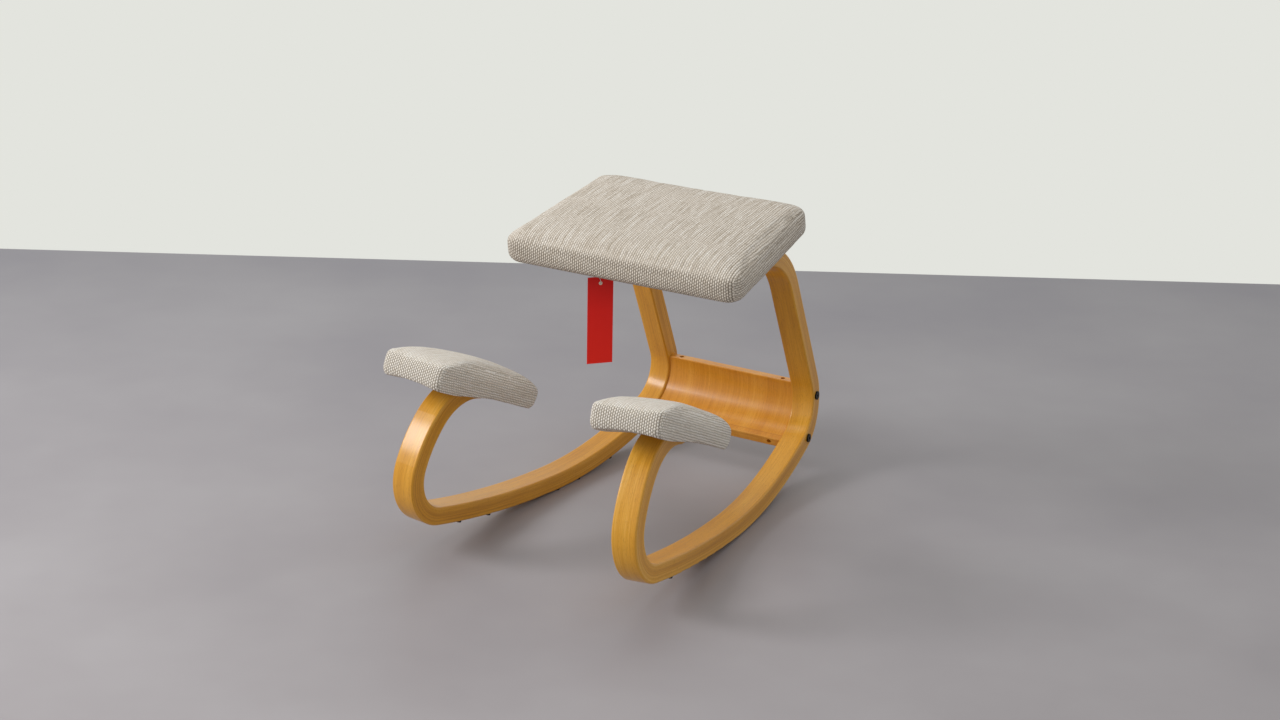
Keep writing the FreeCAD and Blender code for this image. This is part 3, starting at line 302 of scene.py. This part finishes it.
def card_material(name):
    """Varnished card with painted shade: a little brighter towards its foot and darker towards its head."""
    material = plastic_material(name, "#D81C18", 0.45)
    tree = material.node_tree
    shader = tree.nodes["Principled BSDF"]
    place = add(tree, "TexCoord").outputs["Object"]
    # Painted shade: the card's red darkens from its foot up to its head
    height = add(tree, "SeparateXYZ", {0: place}).outputs["Z"]
    share = add(tree, "MapRange", {"Value": height, "From Min": CARD_FOOT, "From Max": CARD_HEAD})
    colour = add(tree, "ValToRGB", {0: share}, [(0.0, "#FF2A1C"), (0.6, "#F8221A"), (1.0, "#DE1713")])
    tree.links.new(colour.outputs[0], shader.inputs["Base Color"])
    shader.inputs["Specular IOR Level"].default_value = 0.25
    return material


# Beech bent in thin layers and lacquered: honey brown with long fine streaks, thin dark glue lines on the
# edges and a soft gloss
RUNNER_LAYER = 1.55
beech = wood_material("lacquered_beech", ["#BA7A1C", "#DA9B2C", "#EEBA56", "#945D14"], RUNNER_LAYER)

# Beech plywood moulded round a bend and lacquered: a deeper brown, striped on its edges
BAR_LAYER = 1.7
bent_ply = wood_material("bent_beech_plywood", ["#B57018", "#CF8A26", "#E0A33F", "#955A12"], BAR_LAYER)

# Woven from thick uneven yarn: dull beige with pale knobs and dark hollows. The weave is the width of a rib
# and the distance between its crossings, in millimetres.
SEAT_WEAVE = (3.8, 5.0)
cloth = cloth_material("beige_flecked_cloth", ["#6C5F4D", "#B9AC99", "#DDD1C1", "#EFE6D9", "#F9F4EB"],
                       *SEAT_WEAVE)

# Birch veneers glued and sanded: dull light tan
plywood = ply_material("birch_plywood")

# The pads' cloth is the same weave drawn tighter, with smaller knobs. Its tones, and the shade in its
# hollows, are painted paler for the brighter light on the pads.
PAD_WEAVE = (3.6, 4.6)
lit_knee_cloth = cloth_material("lit_beige_flecked_cloth", ["#857863", "#D6CAB8", "#F4EADC", "#FBF5EC", "#FDFBF6"],
                            *PAD_WEAVE)

# Steel blackened in a bath: nearly black with a dim shine
black_steel = metal_material("blackened_steel", "#2A2928", 0.42)

# Steel plated with zinc: bright cool grey
zinc = metal_material("zinc_plated_steel", "#B6B9BD", 0.30)

# Drawn wire, galvanised: a duller grey
wire = metal_material("galvanised_wire", "#A5A7AA", 0.38)

# Moulded polyethylene: black with broad soft highlights
black_plastic = plastic_material("black_polyethylene", "#171718", 0.45)

# Card with a satin varnish: strong red with hardly any shine
card = card_material("red_card")

# Moulded plastic from a smooth mould: pale cream with small clear highlights
eyelet_plastic = plastic_material("cream_plastic", "#E4DDCB", 0.3)

# Drawn nylon: half clear, light along its edges
nylon = plastic_material("clear_nylon", "#EDECE6", 0.22, clearness=0.5)


# Runners and crossbar: the frame's own forms with the wood's grain laid along them

def line_pieces(line, way):
    """Each stretch of the centreline: where along it starts, its start point, heading, length and centre."""
    y, z, along = 0.0, 0.0, 0.0
    heading = 0.0 if way > 0 else math.pi
    found = []
    for kind, size, turn in line:
        if kind == "line":
            found.append((kind, along, (y, z), heading, size, None))
            y += size * math.cos(heading)
            z += size * math.sin(heading)
            along += size
            continue
        centre = (y - way * size * math.sin(heading), z + way * size * math.cos(heading))
        found.append((kind, along, (y, z), heading, size, (centre, math.radians(turn))))
        heading += way * math.radians(turn)
        y = centre[0] + way * size * math.sin(heading)
        z = centre[1] - way * size * math.cos(heading)
        along += size * math.radians(turn)
    return found


CENTRELINE = [(way, piece) for way, line in ((1, REAR_LINE), (-1, FRONT_LINE))
              for piece in line_pieces(line, way)]

# How much more it counts that a point lies past a stretch's ends than that it lies off to its side
MISS_WEIGHT = 3


def along_and_off(y, z):
    """Distance along the runner and height off its centreline, outwards positive."""
    best = None
    for way, (kind, along, start, heading, size, bend) in CENTRELINE:
        if kind == "line":
            ry, rz = y - start[0], z - start[1]
            reach = ry * math.cos(heading) + rz * math.sin(heading)
            held = min(max(reach, 0.0), size)
            off = way * (ry * math.sin(heading) - rz * math.cos(heading))
            miss = abs(reach - held)
        else:
            (cy, cz), turn = bend
            angle = math.atan2(way * (y - cy), -(z - cz)) - (heading if way > 0 else math.pi - heading)
            angle = (angle + math.pi) % (2 * math.pi) - math.pi
            held_angle = min(max(angle, 0.0), turn)
            radius = math.hypot(y - cy, z - cz)
            off = radius - size
            miss = abs(angle - held_angle) * radius
            held = held_angle * size
        score = abs(off) + MISS_WEIGHT * miss
        if best is None or score < best[0]:
            best = (score, way * (along + held), off)
    return best[1], best[2]


def grained_copy(node, name, material, measure):
    """A copy of a CAD node that carries the grain's own coordinates, in millimetres."""
    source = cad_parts[node]
    pick(source)
    bpy.ops.object.duplicate()
    obj = bpy.context.view_layer.objects.active
    obj.name = name
    obj.data.name = name
    mesh = obj.data
    grain = mesh.attributes.new("grain", "FLOAT_VECTOR", "POINT")
    for index, vertex in enumerate(mesh.vertices):
        grain.data[index].vector = measure(vertex.co / MM)
    mesh.materials.clear()
    mesh.materials.append(material)
    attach(obj, "frame")
    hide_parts(node)
    return obj


# How far the runners' grain is moved from the middle, so that the two differ, in millimetres
GRAIN_APART = 60


def runner_measure(side):
    inverse = runner_matrix(side).inverted()

    def measure(point):
        local = inverse @ point
        along, off = along_and_off(local.y, local.z)
        return local.x + GRAIN_APART * side, along, off
    return measure


for word, side in SIDES.items():
    grained_copy(word + "_runner", word + "_bent_runner", beech, runner_measure(side))

# The crossbar's bend: its centre seen from the side, its inner radius, and the radius at which the grain's
# length is taken
BAR_CENTRE = (223.9 + REST_POINT.y, 111.1 + REST_POINT.z)
BAR_INNER = 60.25
BAR_MIDDLE = 70


def bar_measure(point):
    """On the crossbar the face grain runs round the bend."""
    ry, rz = point.y - BAR_CENTRE[0], point.z - BAR_CENTRE[1]
    radius = math.hypot(ry, rz)
    return point.x, math.atan2(rz, ry) * BAR_MIDDLE, radius - BAR_INNER + BAR_LAYER / 2


grained_copy("crossbar_panel", "bent_crossbar", bent_ply, bar_measure)


# Cushions

def ease(value, start, end):
    """0 before the start, 1 past the end, smooth between."""
    share = min(max((value - start) / (end - start), 0.0), 1.0)
    return share * share * (3 - 2 * share)


# How flat the cloth looks on a cushion's sides, where its top is 1 and its ends are 0, and how far the skin
# has to turn upwards or sideways for it to begin and to be complete. On the sides this also paints the cloth
# lighter, with weaker shade in its hollows, for the light that falls there.
SIDE_FLAT_AND_LIT = 0.7
TOP_TURN = (0.5, 0.92)
SIDE_TURN = (0.5, 0.9)


def weave_map(mesh, inverse):
    """Lays the cloth's rows over the cushion: across it on top and ends, level along the sides."""
    layer = mesh.uv_layers.new(name="weave")
    for face in mesh.polygons:
        normal = inverse.to_3x3() @ face.normal
        size = [abs(v) for v in normal]
        axis = size.index(max(size))
        for corner in face.loop_indices:
            local = inverse @ (mesh.vertices[mesh.loops[corner].vertex_index].co / MM)
            if axis == 2:
                layer.data[corner].uv = (local.x, local.y)
            elif axis == 1:
                layer.data[corner].uv = (local.x, local.z)
            else:
                layer.data[corner].uv = (local.z, local.y)
    # How flat the cloth looks; on the sides this also paints it lighter, with weaker shade in its hollows
    flat_and_lit = mesh.attributes.new("flat_and_lit", "FLOAT", "POINT")
    for vertex in mesh.vertices:
        facing = (inverse.to_3x3() @ vertex.normal).normalized()
        sides = SIDE_FLAT_AND_LIT * ease(abs(facing.x), *SIDE_TURN)
        flat_and_lit.data[vertex.index].value = max(ease(facing.z, *TOP_TURN), sides)


def hull_of(node, name):
    """A closed skin over the node's outer form."""
    pick(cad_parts[node])
    bpy.ops.object.duplicate()
    obj = bpy.context.view_layer.objects.active
    obj.name = name
    obj.data.name = name
    obj.data.materials.clear()
    bpy.ops.object.mode_set(mode="EDIT")
    bpy.ops.mesh.select_all(action="SELECT")
    bpy.ops.mesh.convex_hull()
    bpy.ops.object.mode_set(mode="OBJECT")
    return obj


# Frames that the air has to fill a cushion
FILL_FRAMES = 20


def stuffed(obj, matrix, voxel, pressure, cap, hold_below, shrink):
    """Remeshes the skin, drawn in by a percentage across and half of that along, and fills it with air while
    what is lower than hold_below stays put. No point moves by more than the cap. Lengths in millimetres."""
    inverse = matrix.inverted()
    for vertex in obj.data.vertices:
        local = inverse @ (vertex.co / MM)
        local.x *= 1 - shrink / 100
        local.y *= 1 - shrink / 200
        vertex.co = (matrix @ local) * MM
    pick(obj)
    remesh = obj.modifiers.new("remesh", "REMESH")
    remesh.mode = "VOXEL"
    remesh.voxel_size = voxel * MM
    bpy.ops.object.modifier_apply(modifier="remesh")
    held = obj.vertex_groups.new(name="held")
    rest = [vertex.co.copy() for vertex in obj.data.vertices]
    for vertex in obj.data.vertices:
        if (inverse @ (vertex.co / MM)).z < hold_below:
            held.add([vertex.index], 1.0, "REPLACE")
    cloth_modifier = obj.modifiers.new("fill", "CLOTH")
    settings = cloth_modifier.settings
    settings.quality = 6
    settings.mass = 0.3
    settings.tension_stiffness = 12
    settings.compression_stiffness = 12
    settings.bending_stiffness = 1.5
    settings.use_pressure = True
    settings.uniform_pressure_force = pressure
    settings.vertex_group_mass = "held"
    settings.effector_weights.gravity = 0
    cloth_modifier.collision_settings.use_collision = False
    cloth_modifier.point_cache.frame_start = 1
    cloth_modifier.point_cache.frame_end = FILL_FRAMES
    for step in range(1, FILL_FRAMES + 1):
        bpy.context.scene.frame_set(step)
    bpy.ops.object.modifier_apply(modifier="fill")
    bpy.context.scene.frame_set(1)
    for vertex, start in zip(obj.data.vertices, rest):
        move = vertex.co - start
        if move.length > cap * MM:
            vertex.co = start + move.normalized() * cap * MM
    return obj


def open_underside(obj, matrix, half_x, near_y, far_y):
    """Cuts the hem's straight opening in the underside and takes away what covers the board."""
    pick(obj)
    inverse = matrix.inverted()

    def underside(face):
        centre = inverse @ (face.calc_center_median() / MM)
        return centre.z < UNDERSIDE_LEVEL and (inverse.to_3x3() @ face.normal).z < FACES_DOWN
    turn = matrix.to_3x3()
    for spot, way in (((half_x, 0, 0), (1, 0, 0)), ((-half_x, 0, 0), (1, 0, 0)), ((0, near_y, 0), (0, 1, 0)),
                      ((0, far_y, 0), (0, 1, 0))):
        bpy.ops.object.mode_set(mode="EDIT")
        bpy.ops.mesh.select_all(action="DESELECT")
        mesh = bmesh.from_edit_mesh(obj.data)
        for face in mesh.faces:
            face.select_set(underside(face))
        bmesh.update_edit_mesh(obj.data)
        bpy.ops.mesh.bisect(plane_co=(matrix @ Vector(spot)) * MM, plane_no=turn @ Vector(way))
        bpy.ops.object.mode_set(mode="OBJECT")
    bpy.ops.object.mode_set(mode="EDIT")
    bpy.ops.mesh.select_all(action="DESELECT")
    mesh = bmesh.from_edit_mesh(obj.data)
    for face in mesh.faces:
        centre = inverse @ (face.calc_center_median() / MM)
        inside = abs(centre.x) < half_x and near_y < centre.y < far_y
        face.select_set(bool(inside and underside(face)))
    bmesh.update_edit_mesh(obj.data)
    bpy.ops.mesh.delete(type="FACE")
    bpy.ops.object.mode_set(mode="OBJECT")


def finish_cushion(obj, matrix, nodes, material):
    """Smooths a cushion, lays its cloth and has it stand for its CAD nodes."""
    pick(obj)
    smooth = obj.modifiers.new("smooth", "SUBSURF")
    smooth.levels = smooth.render_levels = 1
    bpy.ops.object.modifier_apply(modifier="smooth")
    bpy.ops.object.shade_smooth()
    weave_map(obj.data, matrix.inverted())
    obj.data.materials.clear()
    obj.data.materials.append(material)
    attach(obj, "frame")
    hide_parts(*nodes)


# The seat's filling swells along its middle and its upper edges sit down a little. A pair says where a change
# begins and where it is complete, from the middle outwards or from the board upwards.
SEAT_SWELL = 2.5
SEAT_RIM_DROP = 4.0
SEAT_HALF_DEPTH = 145.5
SEAT_RIM_ACROSS = (160.0, 214.0)
SEAT_RIM_ALONG = (100.0, 148.0)
SEAT_RISE = (20.0, 45.0)
SEAT = seat_matrix()
seat = stuffed(hull_of("seat_cover", "seat_cushion"), SEAT, voxel=4.0, pressure=1.6, cap=2.2, hold_below=3.0,
               shrink=0.8)
for vertex in seat.data.vertices:
    local = SEAT.inverted() @ (vertex.co / MM)
    rim = max(ease(abs(local.x), *SEAT_RIM_ACROSS), ease(abs(local.y), *SEAT_RIM_ALONG))
    swell = SEAT_SWELL * (1 - (local.y / SEAT_HALF_DEPTH) ** 2) - SEAT_RIM_DROP * rim
    local.z += swell * ease(local.z, *SEAT_RISE)
    vertex.co = (SEAT @ local) * MM
open_underside(seat, SEAT, *SEAT_WINDOW)
finish_cushion(seat, SEAT, ("seat_cover", "seat_foam"), cloth)

# The pads' skirt hangs lower towards the front, and their back end stands up a little. Pairs as for the seat.
SKIRT_DROP = 9.5
SKIRT_LEVELS = (16.0, 0.0)
SKIRT_ACROSS = (28.0, 46.0)
SKIRT_FRONT = (120.0, 158.0)
SKIRT_FORWARD = (10.0, 150.0)
BACK_RISE = 4.5
BACK_ALONG = (10.0, 78.0)
PAD_SPREAD = 1.045
# The hollow under a pad: half its width, how far it rises, and where its top lies against the board's
# underside
ARCH_HALF = 56.0
ARCH_RISE = 5.0
ARCH_TOP = -1.6
ARCH_RADIUS = (ARCH_HALF ** 2 + ARCH_RISE ** 2) / (2 * ARCH_RISE)
for word, side in SIDES.items():
    place = knee_matrix(side)
    back = place.inverted()
    pad = hull_of(word + "_knee_cover", word + "_knee_cushion")
    pad = stuffed(pad, place, voxel=2.8, pressure=1.6, cap=1.6, hold_below=-2.0, shrink=0.6)
    for vertex in pad.data.vertices:
        local = back @ (vertex.co / MM)
        arch = ARCH_TOP - ARCH_RADIUS + math.sqrt(ARCH_RADIUS ** 2 - local.x ** 2)
        local.z = max(local.z, arch)
        low = ease(local.z, *SKIRT_LEVELS)
        rim = max(ease(abs(local.x), *SKIRT_ACROSS), ease(-local.y, *SKIRT_FRONT))
        local.z -= SKIRT_DROP * low * rim * ease(-local.y, *SKIRT_FORWARD)
        local.z += BACK_RISE * (1 - low) * ease(local.y, *BACK_ALONG)
        local.x *= PAD_SPREAD
        vertex.co = (place @ local) * MM
    open_underside(pad, place, *KNEE_WINDOW)
    finish_cushion(pad, place, (word + "_knee_cover", word + "_knee_foam"), lit_knee_cloth)


# Finishes of the parts that show as they are
FINISHES = {
    "crossbar_bolts": black_steel, "barrel_nuts": zinc, "seat_board": plywood, "seat_screws": zinc,
    "seat_tee_nuts": zinc, "seat_staples": wire, "left_knee_board": plywood, "right_knee_board": plywood,
    "knee_screws": zinc, "knee_tee_nuts": zinc, "runner_glides": black_plastic, "hang_tag": card,
    "tag_eyelet": eyelet_plastic, "tag_fastener": nylon,
}
for node, material in FINISHES.items():
    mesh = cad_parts[node].data
    mesh.materials.clear()
    mesh.materials.append(material)


# Light

# Colour of the world where it lights the chair and where it is seen, straight or in metal and gloss
WORLD_LIGHT = "#CACBCB"
WORLD_SEEN = "#E3E4DE"
world = bpy.data.worlds.new("soft_light")
bpy.context.scene.world = world
world.use_nodes = True
tree = world.node_tree
background = tree.nodes["Background"]
path = add(tree, "LightPath")
seen = add(tree, "Math", {0: path.outputs["Is Glossy Ray"], 1: path.outputs["Is Transmission Ray"]},
           operation="MAXIMUM")
seen = add(tree, "Math", {0: path.outputs["Is Camera Ray"], 1: seen}, operation="MAXIMUM")
colour = add(tree, "Mix", {0: seen, 6: shade(WORLD_LIGHT), 7: shade(WORLD_SEEN)}, data_type="RGBA").outputs[2]
tree.links.new(colour, background.inputs["Color"])
background.inputs["Strength"].default_value = 1.0


def lamp(name, place, target, power, size):
    """A square lamp turned towards a point, in metres and watts."""
    bpy.ops.object.light_add(type="AREA", location=place)
    obj = bpy.context.view_layer.objects.active
    obj.name = name
    obj.data.energy = power
    obj.data.size = size
    obj.rotation_euler = (Vector(target) - Vector(place)).to_track_quat("-Z", "Y").to_euler()


lamp("overhead_softbox", (-0.3, 0.4, 2.6), (0, 0, 0.2), 9.0, 1.4)
lamp("left_softbox", (-2.3, -1.9, 1.9), (0, 0, 0.3), 66.0, 1.1)

# Camera: fitted to the photograph in a frame turned by the chair's rest angle, then carried over
OLD_TARGET = Vector((33.4, 0.0, 215.75))
OLD_REST = Vector((0.0, 75.66, -57.45))
REST_TURN = 2.78
AZIMUTH, ELEVATION, ROLL, DISTANCE = 30.70, 22.08, -0.35, 3168.6
LENS = 57.04
SENSOR = 36.0
az, el, roll = (math.radians(v) for v in (AZIMUTH, ELEVATION, ROLL))
backward = Vector((math.sin(az) * math.cos(el), -math.cos(az) * math.cos(el), math.sin(el)))
right = Vector((math.cos(az), math.sin(az), 0))
up = backward.cross(right)
right, up = right * math.cos(roll) + up * math.sin(roll), up * math.cos(roll) - right * math.sin(roll)
carry = Matrix.Rotation(math.radians(REST_TURN), 3, "X")
eye = carry @ (OLD_TARGET + backward * DISTANCE - OLD_REST) + REST_POINT
axes = Matrix((carry @ right, carry @ up, carry @ backward)).transposed()
bpy.ops.object.camera_add(location=eye * MM)
camera = bpy.context.view_layer.objects.active
camera.rotation_euler = axes.to_euler()
camera.data.lens = LENS
camera.data.sensor_width = SENSOR
bpy.context.scene.camera = camera


# Pale floor that ends along the line where the photograph's wall begins, given by two of its pixels
IMAGE = (1280, 720)
WALL_LINE = ((50, 250), (1230, 283))


def floor_point(spot):
    """Where the ray through a pixel of the photograph meets the floor."""
    reach = LENS / SENSOR * IMAGE[0]
    ray = axes @ Vector(((spot[0] - IMAGE[0] / 2) / reach, (IMAGE[1] / 2 - spot[1]) / reach, -1.0))
    return (eye - ray * (eye.z / ray.z)) * MM


near_end, far_end = (floor_point(spot) for spot in WALL_LINE)
along = (far_end - near_end).normalized()
outwards = Vector((-along.y, along.x, 0))
if outwards.dot(near_end) < 0:
    outwards = -outwards
# In metres. Shade is painted into the floor from the first to the second distance behind its middle, where
# its tone darkens.
FLOOR_SIZE = 16.0
FLOOR_SHADE_FADE = (5.6, 8.0)
# Size of the clouds in the floor, in millimetres
CLOUD_MM = 625.0
centre = near_end - near_end.dot(along) * along - outwards * FLOOR_SIZE / 2
bpy.ops.object.select_all(action="DESELECT")
bpy.ops.mesh.primitive_plane_add(size=FLOOR_SIZE, location=centre,
                                 rotation=(0, 0, math.atan2(along.y, along.x)))
floor = bpy.context.view_layer.objects.active
floor.name = "pale_floor"
# Poured and sealed concrete: an even pale grey with wide faint clouds and a dull shine
concrete, floor_shader = new_material("sealed_concrete", "#9D979A", 0.5)
tree = concrete.node_tree
ground = add(tree, "TexCoord").outputs["Object"]
cloud = add(tree, "TexNoise", {"Vector": ground, "Scale": 1 / (CLOUD_MM * MM), "Detail": 4.0,
                               "Roughness": 0.55})
near_tone = add(tree, "ValToRGB", {0: cloud}, [(0.3, "#999395"), (0.5, "#A29C9E"), (0.7, "#AAA5A7")])
# Painted shade: the far tone is the same concrete drawn darker
shaded_far_tone = add(tree, "ValToRGB", {0: cloud}, [(0.3, "#86838A"), (0.5, "#8D8A8F"), (0.7, "#949195")])
depth = add(tree, "SeparateXYZ", {0: ground}).outputs["Y"]
share = add(tree, "MapRange", {"Value": depth, "From Min": FLOOR_SHADE_FADE[0], "From Max": FLOOR_SHADE_FADE[1]})
tone = add(tree, "Mix", {0: share, 6: near_tone, 7: shaded_far_tone}, data_type="RGBA").outputs[2]
tree.links.new(tone, floor_shader.inputs["Base Color"])
floor.data.materials.append(concrete)

scene = bpy.context.scene
scene.view_settings.view_transform = "Standard"
